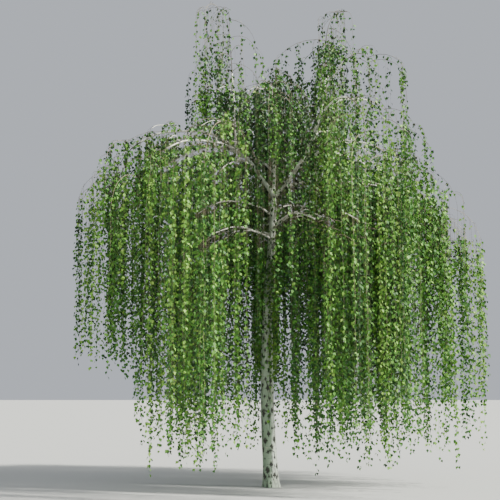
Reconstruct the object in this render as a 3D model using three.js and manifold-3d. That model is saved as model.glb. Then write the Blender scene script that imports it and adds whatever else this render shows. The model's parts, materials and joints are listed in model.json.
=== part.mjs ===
// A weeping silver birch, nine metres tall. The trunk forks into three leaders, thin boughs arch out
// from them and from the trunk, and each bough or leader carries one hanging mass of twigs and leaves.
// Units are millimetres and degrees, +Z is up, and the origin is the middle of the trunk's foot.
// Headings turn from +X (right) at 0 to +Y (back) at 90, and a pitch is an angle above the level.

import * as THREE from "three";
import { mergeVertices } from "three/addons/utils/BufferGeometryUtils.js";
import Module from "manifold-3d";

const wasm = await Module();
wasm.setup();

const DOWN = new THREE.Vector3(0, 0, -1);
const rad = THREE.MathUtils.degToRad;

// Pieces that meet keep this gap.
const GAP = 0.3;

// Repeatable random numbers between two limits.
function dice(seed) {
  const MODULUS = 2147483647;
  let state = (seed * 7919 + 104729) % MODULUS;
  const roll = (low, high) => {
    state = (state * 48271) % MODULUS;
    return low + ((high - low) * state) / MODULUS;
  };
  roll(0, 1);
  return roll;
}

// A line that leaves its start at a heading, while its pitch turns from rise to fall.
function arch(start, { heading, rise, fall, length, hook = 1 }, steps) {
  const line = [start.clone()];
  for (let i = 0; i < steps; i++) {
    const pitch = rad(rise + (fall - rise) * ((i + 0.5) / steps) ** hook);
    const ahead = new THREE.Vector3(
      Math.cos(rad(heading)) * Math.cos(pitch),
      Math.sin(rad(heading)) * Math.cos(pitch),
      Math.sin(pitch),
    );
    line.push(line.at(-1).clone().addScaledVector(ahead, length / steps));
  }
  return line;
}

// The level direction to the left of a heading, which keeps the section of a swept line from twisting.
function sideOf(heading) {
  return new THREE.Vector3(-Math.sin(rad(heading)), Math.cos(rad(heading)), 0);
}

// The tangent, normal and side of a line at point k. The last stretch of a line has the same tangent
// at both ends, so that its faces are flat.
function frameAt(line, k, side) {
  const last = line.length - 1;
  const tangent = line[Math.min(k + 1, last)]
    .clone()
    .sub(line[k === last - 1 ? k : Math.max(k - 1, 0)])
    .normalize();
  const across = side.clone().addScaledVector(tangent, -side.dot(tangent)).normalize();
  return { tangent, across, normal: tangent.clone().cross(across) };
}

// A closed solid of `sides` sides swept along a line, with a radius at each point of the line.
function sweep(line, side, radii, sides, lobes = () => 1) {
  const steps = line.length - 1;
  const geometry = new THREE.CylinderGeometry(1, 1, steps, sides, steps);
  const position = geometry.getAttribute("position");
  const frames = line.map((_, k) => frameAt(line, k, side));
  for (let i = 0; i < position.count; i++) {
    const k = Math.round(position.getY(i) + steps / 2);
    const { across, normal } = frames[k];
    const angle = Math.atan2(position.getX(i), position.getZ(i));
    const radius = radii[k] * lobes(line[k], angle);
    const point = line[k]
      .clone()
      .addScaledVector(normal, position.getX(i) * radius)
      .addScaledVector(across, position.getZ(i) * radius);
    position.setXYZ(i, point.x, point.y, point.z);
  }
  return geometry;
}

// The same line, a gap longer at both ends.
function lengthened(line) {
  const push = (end, before) => end.clone().addScaledVector(end.clone().sub(before).normalize(), GAP);
  return [push(line[0], line[1]), ...line.slice(1, -1), push(line.at(-1), line.at(-2))];
}

// Radii that run evenly from one end of a line to the other.
function taper(line, from, to) {
  return line.map((_, k) => from + ((to - from) * k) / (line.length - 1));
}

function solidOf(geometry) {
  geometry.deleteAttribute("normal");
  geometry.deleteAttribute("uv");
  const merged = mergeVertices(geometry);
  return new wasm.Manifold(
    new wasm.Mesh({
      numProp: 3,
      vertProperties: new Float32Array(merged.getAttribute("position").array),
      triVerts: new Uint32Array(merged.index.array),
    }),
  );
}

// The largest single body of a solid: loose scraps and sealed hollows fall away.
function wholeOf(solid) {
  return solid.decompose().reduce((best, body) => (body.volume() > best.volume() ? body : best));
}

function geometryOf(solid) {
  const { vertProperties, triVerts } = solid.getMesh();
  return new THREE.BufferGeometry()
    .setAttribute("position", new THREE.BufferAttribute(vertProperties, 3))
    .setIndex(new THREE.BufferAttribute(triVerts, 1));
}

function meshOf(name, solid, material) {
  const geometry = geometryOf(solid);
  geometry.computeVertexNormals();
  const mesh = new THREE.Mesh(geometry, material);
  mesh.name = name;
  return mesh;
}

function distanceToLine(point, line) {
  const nearest = new THREE.Vector3();
  let least = Infinity;
  for (let k = 1; k < line.length; k++) {
    new THREE.Line3(line[k - 1], line[k]).closestPointToPoint(point, true, nearest);
    least = Math.min(least, nearest.distanceTo(point));
  }
  return least;
}

function pointAlong(line, share) {
  const place = share * (line.length - 1);
  const k = Math.min(Math.floor(place), line.length - 2);
  return line[k].clone().lerp(line[k + 1], place - k);
}

const whiteBark = new THREE.MeshStandardMaterial({ color: 0xd4d2c8, roughness: 0.8, metalness: 0 });
const greyBark = new THREE.MeshStandardMaterial({ color: 0xb0aca0, roughness: 0.85, metalness: 0 });
const foliage = new THREE.MeshStandardMaterial({ color: 0x4a6b26, roughness: 0.6, metalness: 0 });

const tree = new THREE.Group();

// The trunk sways once to the left and once to the right between its foot and its fork.
const FORK_HEIGHT = 5190;
const TRUNK_RADIUS = 130;
const TRUNK_TAPER = 0.57;
const TAPER_CURVE = 1.2;
const TRUNK_SWAY = 75;
const TRUNK_NOD = 22;
const SWAY_HEIGHT = 3950;
const FLARE = 34;
const FLARE_HEIGHT = 140;
const ROOT_LOBES = 5;
const LOBE_DEPTH = 0.12;
const TRUNK_SIDES = 14;
const TRUNK_STEPS = 16;
// The rings of points stand closer together towards the foot.
const RING_CROWDING = 1.6;
const FOOT_HEIGHT = 14;

function trunkCentre(z) {
  const swing = (Math.PI * z) / SWAY_HEIGHT;
  return new THREE.Vector3(-TRUNK_SWAY * Math.sin(swing), TRUNK_NOD * (1 - Math.cos(swing)), z);
}

function trunkRadius(z) {
  const stem = TRUNK_RADIUS * (1 - TRUNK_TAPER * (z / FORK_HEIGHT) ** TAPER_CURVE);
  return stem + FLARE * Math.exp(-z / FLARE_HEIGHT);
}

function rootLobes(point, angle) {
  return 1 + LOBE_DEPTH * Math.exp(-point.z / FLARE_HEIGHT) * Math.cos(ROOT_LOBES * angle);
}

const limbs = new Map();

function makeTrunk() {
  const heights = Array.from(
    { length: TRUNK_STEPS + 1 },
    (_, k) => FORK_HEIGHT * (k / TRUNK_STEPS) ** RING_CROWDING,
  );
  const line = heights.map(trunkCentre);
  const radii = heights.map(trunkRadius);
  const solidOn = (path, extra) => {
    const grown = radii.map((r) => r + extra);
    const geometry = sweep(path, sideOf(0), grown, TRUNK_SIDES, rootLobes);
    const position = geometry.getAttribute("position");
    // The foot is cut level, whatever the trunk's lean there.
    for (let i = 0; i < position.count; i++) {
      if (position.getZ(i) < FOOT_HEIGHT) position.setZ(i, 0);
    }
    return solidOf(geometry);
  };
  limbs.set("trunk", { line, radii, solid: solidOn(line, 0), grown: solidOn(lengthened(line), GAP) });
  tree.add(meshOf("trunk", limbs.get("trunk").solid, whiteBark));
}

// Each limb starts on its parent at a share of the parent's length. The columns are: name, parent,
// share, heading, rise, fall, length, first radius, last radius.
const LEADERS = [
  ["leader_left", "trunk", 1, 184, 62, 42, 1250, 40, 27],
  ["leader_centre", "trunk", 1, 80, 87, 82, 1850, 35, 18],
  ["leader_right", "trunk", 1, 350, 44, 88, 2450, 38, 18],
];

const BOUGHS = [
  ["bough_left_high", "leader_left", 1, 180, 35, -32, 1820, 24, 13],
  ["bough_left_front", "leader_left", 0.85, 216, 20, -34, 1650, 21, 12],
  ["bough_left_low", "leader_left", 0.55, 240, 8, -38, 1150, 16, 11],
  ["bough_left_back", "leader_left", 0.75, 146, 34, -32, 2050, 22, 12],
  ["bough_front_left", "leader_left", 0.4, 252, 42, -20, 2250, 22, 12],
  ["bough_spire", "leader_left", 0.93, 180, 88, 86, 1450, 20, 12],
  ["bough_back_left", "leader_centre", 0.25, 120, 44, -18, 2350, 21, 12],
  ["bough_back", "leader_centre", 0.45, 92, 48, -18, 2200, 20, 12],
  ["bough_crown_front", "leader_centre", 0.7, 265, 60, -10, 1250, 15, 10],
  ["bough_right_far", "leader_right", 0.1, 358, 17, -34, 2630, 25, 13],
  ["bough_right_front", "leader_right", 0.24, 316, 38, -28, 1900, 22, 12],
  ["bough_right_back", "leader_right", 0.3, 38, 40, -28, 2050, 22, 12],
  ["bough_front_right", "leader_right", 0.4, 286, 44, -22, 2250, 21, 12],
  ["bough_back_right", "leader_right", 0.48, 66, 48, -20, 2200, 20, 12],
  ["bough_right_high", "leader_right", 0.72, 4, 54, -14, 1000, 18, 11],
  ["bough_dome_front", "leader_right", 0.8, 304, 72, 20, 900, 14, 10],
  ["bough_dome_back", "leader_right", 0.88, 75, 74, 20, 800, 14, 10],
  ["bough_arch_left", "trunk", 0.955, 187, 42, -40, 1500, 18, 11],
  ["bough_low_front_left", "trunk", 0.9, 222, 24, -30, 1500, 17, 11],
  ["bough_low_front_right", "trunk", 0.925, 300, 26, -30, 1450, 16, 11],
  ["bough_low_right", "trunk", 0.935, 342, 36, -36, 1700, 18, 11],
  ["bough_low_back_right", "trunk", 0.965, 42, 32, -32, 1700, 17, 11],
  ["bough_low_back", "trunk", 0.93, 98, 30, -32, 1600, 16, 11],
  ["bough_low_back_left", "trunk", 0.91, 146, 30, -32, 1700, 17, 11],
];

const LIMB_STEPS = 6;
const LEADER_SIDES = 8;
const BOUGH_SIDES = 5;

function makeLimb([name, parent, share, heading, rise, fall, length, first, last], sides, material) {
  const start = pointAlong(limbs.get(parent).line, share);
  const line = arch(start, { heading, rise, fall, length }, LIMB_STEPS);
  const side = sideOf(heading);
  const radii = taper(line, first, last);
  const grown = solidOf(sweep(lengthened(line), side, radii.map((r) => r + GAP), sides));
  // The foot of the limb is cut to fit whatever it grows from.
  const whole = [...limbs.values()].reduce(
    (rest, other) => rest.subtract(other.grown),
    solidOf(sweep(line, side, radii, sides)),
  );
  limbs.set(name, { line, radii, heading, fall, solid: wholeOf(whole), grown });
  tree.add(meshOf(name, limbs.get(name).solid, material));
}

function limbSolids() {
  return [...limbs.values()].map((limb) => limb.solid);
}

// Each mass hangs from the tip of its limb. Its stem runs on from the limb, arches over and hangs
// down, and side twigs leave the stem, arch out and hang down too. The columns are: name, limb, length
// of the stem's arch, hook (how late it bends), spread of the side twigs' headings to either side,
// their reach, and the longest drop.
const MASSES = [
  ["foliage_left_high", "bough_left_high", 1050, 0.8, 100, 950, 3400],
  ["foliage_left_front", "bough_left_front", 1100, 1, 100, 1200, 4300],
  ["foliage_left_low", "bough_left_low", 700, 1, 100, 900, 3600],
  ["foliage_left_back", "bough_left_back", 1150, 1, 100, 1200, 4200],
  ["foliage_front_left", "bough_front_left", 1300, 1, 100, 1300, 4600],
  ["foliage_spire", "bough_spire", 1600, 6, 180, 960, 2000],
  ["foliage_back_left", "bough_back_left", 1300, 1, 100, 1300, 4600],
  ["foliage_back", "bough_back", 1300, 1, 100, 1300, 4600],
  ["foliage_crown_front", "bough_crown_front", 900, 1, 110, 1000, 2000],
  ["foliage_right_far", "bough_right_far", 800, 0.8, 100, 900, 3300],
  ["foliage_right_front", "bough_right_front", 900, 1, 100, 1200, 4600],
  ["foliage_right_back", "bough_right_back", 900, 1, 100, 1200, 4600],
  ["foliage_front_right", "bough_front_right", 1300, 1, 100, 1300, 4800],
  ["foliage_back_right", "bough_back_right", 1300, 1, 100, 1300, 4600],
  ["foliage_right_high", "bough_right_high", 850, 1, 100, 960, 2000],
  ["foliage_dome_front", "bough_dome_front", 900, 1.4, 110, 1000, 2300],
  ["foliage_dome_back", "bough_dome_back", 900, 1.4, 110, 1000, 2300],
  ["foliage_arch_left", "bough_arch_left", 700, 1, 100, 1100, 3800],
  ["foliage_low_front_left", "bough_low_front_left", 700, 1, 100, 1100, 3800],
  ["foliage_low_front_right", "bough_low_front_right", 700, 1, 100, 1100, 3800],
  ["foliage_low_right", "bough_low_right", 700, 1, 100, 1200, 3800],
  ["foliage_low_back_right", "bough_low_back_right", 700, 1, 100, 1200, 3800],
  ["foliage_low_back", "bough_low_back", 700, 1, 100, 1000, 3800],
  ["foliage_low_back_left", "bough_low_back_left", 700, 1, 100, 1100, 3800],
  ["foliage_crown_top", "leader_centre", 1300, 3, 180, 1000, 2600],
  ["foliage_dome_top", "leader_right", 1680, 5, 180, 1500, 2400],
];

const STEM_STEPS = 5;
// The stem's first stretch runs straight on from the limb, so that the two ends meet face to face.
const STEM_NECK = 40;
const STEM_FALL = -88;
const STEM_DROPS = [0.8, 1];
const STEM_TIP_RADIUS = 6;
const SIDE_STEPS = 3;
const TWIG_FALL = -86;
const TWIG_RISES = [5, 30];
const TWIG_REACHES = [0.55, 1.15];
const TWIG_DROPS = [0.65, 1];
const TWIG_RADIUS = 8;
const TWIG_TIP_RADIUS = 5;
const TWIG_SIDES = 3;
// The side twigs of an upright stem, one that bends late, are shorter towards its tip.
const UPRIGHT_HOOK = 2;
const UPRIGHT_SHRINK = [1.3, 0.6];
// One side twig for this much of a mass's reach, between two shares of the stem's arch.
const REACH_PER_TWIG = 240;
const SHARES = { first: 0.05, last: 0.95, place: [0.2, 0.8] };
const GOLDEN = 0.618;
const FIRST_TURN = 0.81;
const SHORTEST_HANG = 500;
const SWAY = 45;

// Twigs end at the drip line: near the ground, and higher on the far left and the far right.
const DRIP = { height: 300, ragged: 500, leftLift: 1700, leftEdge: -2300, rightLift: 1750, rightEdge: 3500 };
const DRIP_FADE = 500;

function dripHeight({ x }, roll) {
  const left = 1 - THREE.MathUtils.smoothstep(x, DRIP.leftEdge - DRIP_FADE, DRIP.leftEdge);
  const right = THREE.MathUtils.smoothstep(x, DRIP.rightEdge, DRIP.rightEdge + DRIP_FADE);
  return DRIP.height + roll(0, DRIP.ragged) + left * DRIP.leftLift + right * DRIP.rightLift;
}

// Carries a line on downwards from its last point to `bottom`, a little out of plumb.
function hangDown(line, bottom, roll) {
  const top = line.at(-1);
  const sway = new THREE.Vector3(roll(-SWAY, SWAY), roll(-SWAY, SWAY), bottom - top.z);
  return [...line, top.clone().add(sway)];
}

function growStem([name, limbName, length, hook, spread, reach, drop], index) {
  const roll = dice(index + 1);
  const limb = limbs.get(limbName);
  const tip = limb.line.at(-1);
  const ahead = tip.clone().sub(limb.line.at(-2)).normalize();
  const root = tip.clone().addScaledVector(ahead, GAP);
  const start = root.clone().addScaledVector(ahead, STEM_NECK);
  const curve = { heading: limb.heading, rise: limb.fall, fall: STEM_FALL, length, hook };
  const bow = arch(start, curve, STEM_STEPS);
  const end = bow.at(-1);
  const bottom = Math.max(dripHeight(end, roll), end.z - drop * roll(...STEM_DROPS));
  const line = hangDown([root, ...bow], Math.min(bottom, end.z - SHORTEST_HANG), roll);
  const side = sideOf(limb.heading);
  const radii = { first: limb.radii.at(-1), last: STEM_TIP_RADIUS };
  const twigs = Math.round(reach / REACH_PER_TWIG);
  const habit = { heading: limb.heading, spread, reach, drop, twigs, roll, upright: hook > UPRIGHT_HOOK };
  return { name, side, bow, line, ...radii, isStem: true, ...habit };
}

// The side twigs of a stem turn evenly round it, by the golden section, within the spread.
function growSideTwig(stem, k) {
  const { first, last, place } = SHARES;
  const share = first + ((last - first) * (k + stem.roll(...place))) / stem.twigs;
  const start = pointAlong(stem.bow, share);
  const turn = 2 * ((FIRST_TURN + k * GOLDEN) % 1) - 1;
  const heading = stem.heading + turn * stem.spread;
  const shrink = stem.upright ? THREE.MathUtils.lerp(...UPRIGHT_SHRINK, share) : 1;
  const length = shrink * stem.reach * stem.roll(...TWIG_REACHES);
  const rise = stem.roll(...TWIG_RISES);
  const bow = arch(start, { heading, rise, fall: TWIG_FALL, length }, SIDE_STEPS);
  const end = bow.at(-1);
  const drip = dripHeight(end, stem.roll);
  const bottom = Math.max(drip, end.z - shrink * stem.drop * stem.roll(...TWIG_DROPS));
  const line = hangDown(bow, Math.min(bottom, end.z - SHORTEST_HANG), stem.roll);
  return { line, side: sideOf(heading), first: TWIG_RADIUS, last: TWIG_TIP_RADIUS };
}

// A mass keeps to its own space: the points that lie nearer to its stem than to any other stem.
const SPACE_MARGIN = 30;
const SPACE_SAMPLES = 40;
// A twig's first samples lie in its own stem and are left out.
const FIRST_SAMPLE = 4;
const GROUND_MARGIN = 20;

function inOwnSpace(point, own, stems) {
  const reach = distanceToLine(point, own.line) + SPACE_MARGIN;
  return stems.every((other) => other === own || distanceToLine(point, other.line) > reach);
}

function clearOfGround(point) {
  return point.z > GROUND_MARGIN;
}

// Cuts a twig short where it would leave its space, and drops it if too little is left.
function keepInside(twig, own, stems) {
  const bends = twig.line.length - 1;
  for (let i = FIRST_SAMPLE; i <= SPACE_SAMPLES; i++) {
    if (inOwnSpace(pointAlong(twig.line, i / SPACE_SAMPLES), own, stems)) continue;
    const end = (i - 1) / SPACE_SAMPLES;
    const kept = Math.ceil(end * bends);
    if (kept < SIDE_STEPS) return null;
    return { ...twig, line: [...twig.line.slice(0, kept), pointAlong(twig.line, end)] };
  }
  return twig;
}

// A leaf is a thin folded rhomb of four faces that stands for one spray. It starts at the origin and
// points along +Y, with its midrib on one side and its two corners on the other.
const LEAF_LENGTH = 700;
const LEAF_WIDTH = 360;
const LEAF_THICKNESS = 12;
const LEAF_WIDEST = 0.44;
const LEAF_SIZES = [0.85, 1.1];

function leafGeometry(size, thickness = LEAF_THICKNESS) {
  const geometry = new THREE.TetrahedronGeometry(1).rotateZ(Math.PI / 4);
  const position = geometry.getAttribute("position");
  for (let i = 0; i < position.count; i++) {
    const onMidrib = position.getZ(i) > 0;
    const along = onMidrib ? Math.max(0, Math.sign(position.getY(i))) : LEAF_WIDEST;
    const aside = onMidrib ? 0 : Math.sign(position.getX(i)) / 2;
    const behind = onMidrib ? 0 : -thickness;
    position.setXYZ(i, aside * LEAF_WIDTH * size, along * LEAF_LENGTH * size, behind);
  }
  return geometry;
}

// Leaves leave the three faces of a twig in turn and hang outwards, roots sunk in the twig.
const LEAF_LEAN = 34;
const LEAF_ROLL = 35;
const FACE_SPREAD = 12;
const STEEPEST_OUT = 0.35;
const ROOT_SINK = 0.1;

function placeLeaf(twig, distance, count, radius, roll) {
  const lengths = twig.line.slice(1).map((point, k) => point.distanceTo(twig.line[k]));
  let k = 0;
  while (k < lengths.length - 1 && distance > lengths[k]) distance -= lengths[k++];
  const point = twig.line[k].clone().lerp(twig.line[k + 1], distance / lengths[k]);
  const { across, normal } = frameAt([twig.line[k], twig.line[k + 1]], 0, twig.side);
  const angle = rad((180 / TWIG_SIDES) * (1 + 2 * count) + roll(-FACE_SPREAD, FACE_SPREAD));
  const out = normal.multiplyScalar(Math.sin(angle)).addScaledVector(across, Math.cos(angle));
  if (out.z > STEEPEST_OUT) out.negate();
  const along = out
    .clone()
    .multiplyScalar(Math.sin(rad(LEAF_LEAN)))
    .addScaledVector(DOWN, Math.cos(rad(LEAF_LEAN)))
    .normalize();
  const turn = rad(roll(-LEAF_ROLL, LEAF_ROLL));
  const width = along.clone().cross(out).normalize().applyAxisAngle(along, turn);
  const face = width.clone().cross(along);
  const root = point.addScaledVector(along, -ROOT_SINK * radius);
  const place = new THREE.Matrix4().makeBasis(width, along, face).setPosition(root);
  return { place, size: roll(...LEAF_SIZES) };
}

// Points on a leaf's two edges and midrib, at these shares of its length.
const LEAF_STATIONS = [0.15, 0.22, LEAF_WIDEST, 0.7, 0.85, 1];

function leafPoints({ place, size }) {
  const points = [];
  for (const along of LEAF_STATIONS) {
    const reach = along < LEAF_WIDEST ? along / LEAF_WIDEST : (1 - along) / (1 - LEAF_WIDEST);
    for (const side of [-1, 0, 1]) {
      const point = new THREE.Vector3((side * reach * LEAF_WIDTH) / 2, along * LEAF_LENGTH, 0);
      points.push(point.multiplyScalar(size).applyMatrix4(place));
    }
  }
  return points;
}

const LEAF_SPACING = 900;
const SPACING_RANGE = [0.92, 1.08];
const FIRST_LEAF = { stem: 500, side: 350 };
const BARE_TIP = 30;
const LEAF_TRIES = 4;
const LEAF_ROOM = 1.04;

function twigSolid(twig, extra = 0) {
  const radii = taper(twig.line, twig.first, twig.last).map((r) => r + extra);
  return solidOf(sweep(twig.line, twig.side, radii, TWIG_SIDES));
}

function leafSolid(leaf, room = 1) {
  return solidOf(leafGeometry(leaf.size * room, LEAF_THICKNESS * room).applyMatrix4(leaf.place));
}

function meet(a, b) {
  return !a.intersect(b).isEmpty();
}

// Leaves along one twig: each is kept where it stays in the mass's space, touches nothing in
// `others` and crosses none of the mass's other twigs and leaves.
function growLeaves(twig, stem, stems, others, nearby) {
  const solids = [];
  const total = twig.line.slice(1).reduce((sum, point, k) => sum + point.distanceTo(twig.line[k]), 0);
  const spacing = LEAF_SPACING * stem.roll(...SPACING_RANGE);
  const first = twig.isStem ? FIRST_LEAF.stem : FIRST_LEAF.side;
  const suits = (leaf) => {
    const fits = (point) => clearOfGround(point) && inOwnSpace(point, stem, stems);
    if (!leafPoints(leaf).every(fits)) return false;
    const roomy = leafSolid(leaf, LEAF_ROOM);
    return !meet(others, roomy) && ![...nearby, ...solids].some((solid) => meet(solid, roomy));
  };
  for (let at = first, count = 0; at < total - BARE_TIP; at += spacing, count++) {
    const radius = twig.first + ((twig.last - twig.first) * at) / total;
    for (let attempt = 0; attempt < LEAF_TRIES; attempt++) {
      const leaf = placeLeaf(twig, at, count + attempt, radius, stem.roll);
      if (!suits(leaf)) continue;
      solids.push(leafSolid(leaf));
      break;
    }
  }
  return solids;
}

function growMass(stem, stems, finished) {
  const otherStems = stems.filter((other) => other !== stem).map((other) => twigSolid(other));
  const others = wasm.Manifold.union([...limbSolids(), ...finished, ...otherStems]);
  const hanging = [stem];
  for (let k = 0; k < stem.twigs; k++) {
    const twig = keepInside(growSideTwig(stem, k), stem, stems);
    if (twig && !meet(others, twigSolid(twig, GAP))) hanging.push(twig);
  }
  const twigs = hanging.map((twig) => twigSolid(twig));
  const leaves = [];
  hanging.forEach((twig, k) => {
    const nearby = [...twigs.filter((_, other) => other !== k), ...leaves];
    leaves.push(...growLeaves(twig, stem, stems, others, nearby));
  });
  // A thin neck that closes when its points are merged leaves a scrap, so the body is picked twice.
  const joined = wholeOf(wasm.Manifold.union([...twigs, ...leaves]));
  const solid = wholeOf(solidOf(geometryOf(joined)));
  tree.add(meshOf(stem.name, solid, foliage));
  finished.push(solid);
}

makeTrunk();
LEADERS.forEach((row) => makeLimb(row, LEADER_SIDES, whiteBark));
BOUGHS.forEach((row) => makeLimb(row, BOUGH_SIDES, greyBark));
const stems = MASSES.map(growStem);
const finished = [];
stems.forEach((stem) => growMass(stem, stems, finished));

export default tree;
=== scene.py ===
# A weeping silver birch in summer leaf, nine metres tall, rooted in level ground.
# Units are metres and degrees, +Z is up, and the origin is the middle of the trunk's foot.
# Headings turn from +X (right) at 0 to +Y (back) at 90, and a pitch is an angle above the level.
import json
import math
from collections import namedtuple

import bmesh
import bpy
import numpy as np
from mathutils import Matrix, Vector, noise

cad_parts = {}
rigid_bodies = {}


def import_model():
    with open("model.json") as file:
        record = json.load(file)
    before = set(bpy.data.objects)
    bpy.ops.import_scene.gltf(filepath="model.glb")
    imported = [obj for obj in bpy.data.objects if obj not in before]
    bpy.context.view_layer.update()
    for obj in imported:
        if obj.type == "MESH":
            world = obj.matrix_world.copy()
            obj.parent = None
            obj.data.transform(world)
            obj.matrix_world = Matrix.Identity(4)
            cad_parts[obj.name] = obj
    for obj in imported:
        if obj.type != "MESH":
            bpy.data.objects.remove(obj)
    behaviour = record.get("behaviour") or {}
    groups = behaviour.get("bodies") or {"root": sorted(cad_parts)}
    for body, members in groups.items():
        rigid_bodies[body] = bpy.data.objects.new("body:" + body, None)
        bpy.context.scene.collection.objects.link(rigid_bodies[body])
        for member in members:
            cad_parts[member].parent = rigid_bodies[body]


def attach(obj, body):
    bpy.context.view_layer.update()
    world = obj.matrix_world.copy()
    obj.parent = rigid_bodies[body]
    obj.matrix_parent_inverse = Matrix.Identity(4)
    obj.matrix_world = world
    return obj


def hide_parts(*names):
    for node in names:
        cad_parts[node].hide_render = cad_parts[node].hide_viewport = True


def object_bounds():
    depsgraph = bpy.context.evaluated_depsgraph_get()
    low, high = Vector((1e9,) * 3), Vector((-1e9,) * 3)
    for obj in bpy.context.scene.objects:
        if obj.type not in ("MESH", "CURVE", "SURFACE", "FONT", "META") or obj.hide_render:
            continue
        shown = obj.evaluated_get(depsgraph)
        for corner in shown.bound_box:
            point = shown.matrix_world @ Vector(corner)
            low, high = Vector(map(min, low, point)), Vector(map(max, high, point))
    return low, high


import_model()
cad_box = [list(corner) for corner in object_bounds()]

# The trunk is one stem of white, papery bark, from the flat cut at ground level to the fork.
# It sways once to each side and flares into low root lobes, and towards its foot the bark is
# cracked into rough black furrows. Old branch scars stand out of it as dark knots.
FORK_HEIGHT = 5.19
TRUNK_RADIUS = 0.13
TRUNK_TAPER = 0.57
TAPER_CURVE = 1.2
TRUNK_SWAY = 0.075
TRUNK_NOD = 0.022
SWAY_HEIGHT = 3.95
FLARE = 0.034
FLARE_HEIGHT = 0.14
ROOT_LOBES = 5
LOBE_DEPTH = 0.12
TRUNK_SIDES = 112
TRUNK_RINGS = 400
RING_CROWDING = 1.25
TOP_HEIGHT = 0.05
TOP_FLATNESS = 1.05
SOLE_HEIGHT = 0.014


def trunk_centre(height):
    swing = math.pi * height / SWAY_HEIGHT
    return (-TRUNK_SWAY * math.sin(swing), TRUNK_NOD * (1 - math.cos(swing)), height)


def trunk_radius(height):
    stem = TRUNK_RADIUS * (1 - TRUNK_TAPER * (height / FORK_HEIGHT) ** TAPER_CURVE)
    return stem + FLARE * math.exp(-height / FLARE_HEIGHT)


def smooth_step(low, high, value):
    share = min(1, max(0, (value - low) / (high - low)))
    return share * share * (3 - 2 * share)


def side_of(heading):
    """The level direction to the left of a heading."""
    return np.array([-math.sin(math.radians(heading)), math.cos(math.radians(heading)), 0.0])


def frames_along(line, side):
    """The normal and side of a line at each of its points."""
    tangent = np.gradient(line, axis=0)
    tangent /= np.linalg.norm(tangent, axis=1)[:, None]
    across = side - (tangent @ side)[:, None] * tangent
    across /= np.linalg.norm(across, axis=1)[:, None]
    return np.cross(tangent, across), across


def add_tube(bm, line, side, radii, sides, relief):
    """Adds a closed tube round a line. relief gives a point's height over the radius and its darkness."""
    rings = len(line) - 1
    made = bmesh.ops.create_cone(bm, cap_ends=True, segments=sides, radius1=1, radius2=1, depth=1)
    upright = {edge for vert in made["verts"] for edge in vert.link_edges
               if edge.verts[0].co.z != edge.verts[1].co.z}
    bmesh.ops.subdivide_edges(bm, edges=list(upright), cuts=rings - 1)
    normal, across = frames_along(line, side)
    dark = bm.verts.layers.float.get("dark") or bm.verts.layers.float.new("dark")
    for vert in [vert for vert in bm.verts if not vert.tag]:
        ring = round((vert.co.z + 0.5) * rings)
        angle = math.atan2(vert.co.y, vert.co.x)
        height, vert[dark] = relief(ring / rings, angle, line[ring])
        reach = radii[ring] * (1 + height)
        out = normal[ring] * math.cos(angle) + across[ring] * math.sin(angle)
        vert.co = line[ring] + out * reach
        vert.tag = True


def finish_piece(name, bm, material, slot, *nodes):
    """Makes a smooth mesh piece that rides on the tree and stands for the named nodes."""
    mesh = bpy.data.meshes.new(name)
    bm.to_mesh(mesh)
    bm.free()
    mesh.shade_smooth()
    place_piece(name, mesh, [material], slot, *nodes)


def place_piece(name, mesh, materials, slot, *nodes):
    for material in materials:
        mesh.materials.append(material)
    piece = bpy.data.objects.new(name, mesh)
    bpy.context.scene.collection.objects.link(piece)
    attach(piece, "root")
    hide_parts(*nodes)


class Wire:
    """A socket of a material. Arithmetic on it adds Math nodes."""

    def __init__(self, tree, socket=None):
        self.tree = tree
        self.socket = socket

    def node(self, kind, settings=(), inputs=(), output=0):
        """Adds a node, with its settings first and then its sockets' values or links."""
        made = self.tree.nodes.new("ShaderNode" + kind)
        for name, value in dict(settings).items():
            setattr(made, name, value)
        for name, value in dict(inputs).items():
            if isinstance(value, Wire):
                self.tree.links.new(value.socket, made.inputs[name])
            else:
                made.inputs[name].default_value = value
        return Wire(self.tree, made.outputs[output])

    def math(self, operation, *values):
        return self.node("Math", {"operation": operation}, dict(enumerate(values)))

    def __add__(self, other):
        return self.math("ADD", self, other)

    def __sub__(self, other):
        return self.math("SUBTRACT", self, other)

    def __rsub__(self, other):
        return self.math("SUBTRACT", other, self)

    def __mul__(self, other):
        return self.math("MULTIPLY", self, other)

    __radd__ = __add__
    __rmul__ = __mul__

    def between(self, low, high):
        """0 below low, 1 above high and smooth in between."""
        settings = {"interpolation_type": "SMOOTHSTEP"}
        return self.node("MapRange", settings, {"Value": self, "From Min": low, "From Max": high})

    def noise(self, scale, detail, stretch=(1, 1, 1)):
        place = self.node("Mapping", {}, {"Vector": self, "Scale": stretch})
        return self.node("TexNoise", {}, {"Vector": place, "Scale": scale, "Detail": detail})

    def pattern(self, scale, detail, stretch, low, high):
        """Noise that is 0 below low and 1 above high."""
        return self.noise(scale, detail, stretch).between(low, high)

    def mix(self, first, second):
        """From the first colour at 0 to the second at 1. Inputs 6 and 7 and output 2 are colours."""
        colours = [c if isinstance(c, Wire) else (*c, 1) for c in (first, second)]
        inputs = {0: self, 6: colours[0], 7: colours[1]}
        return self.node("Mix", {"data_type": "RGBA"}, inputs, 2)


def new_material(name, roughness=0.5, specular=0.5):
    """A material, a Wire with its object coordinates, and its surface shader's sockets."""
    material = bpy.data.materials.new(name)
    material.use_nodes = True
    tree = material.node_tree
    surface = tree.nodes["Principled BSDF"].inputs
    surface["Roughness"].default_value = roughness
    surface["Specular IOR Level"].default_value = specular
    place = Wire(tree).node("TexCoord", output="Object")
    return material, place, surface


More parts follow.
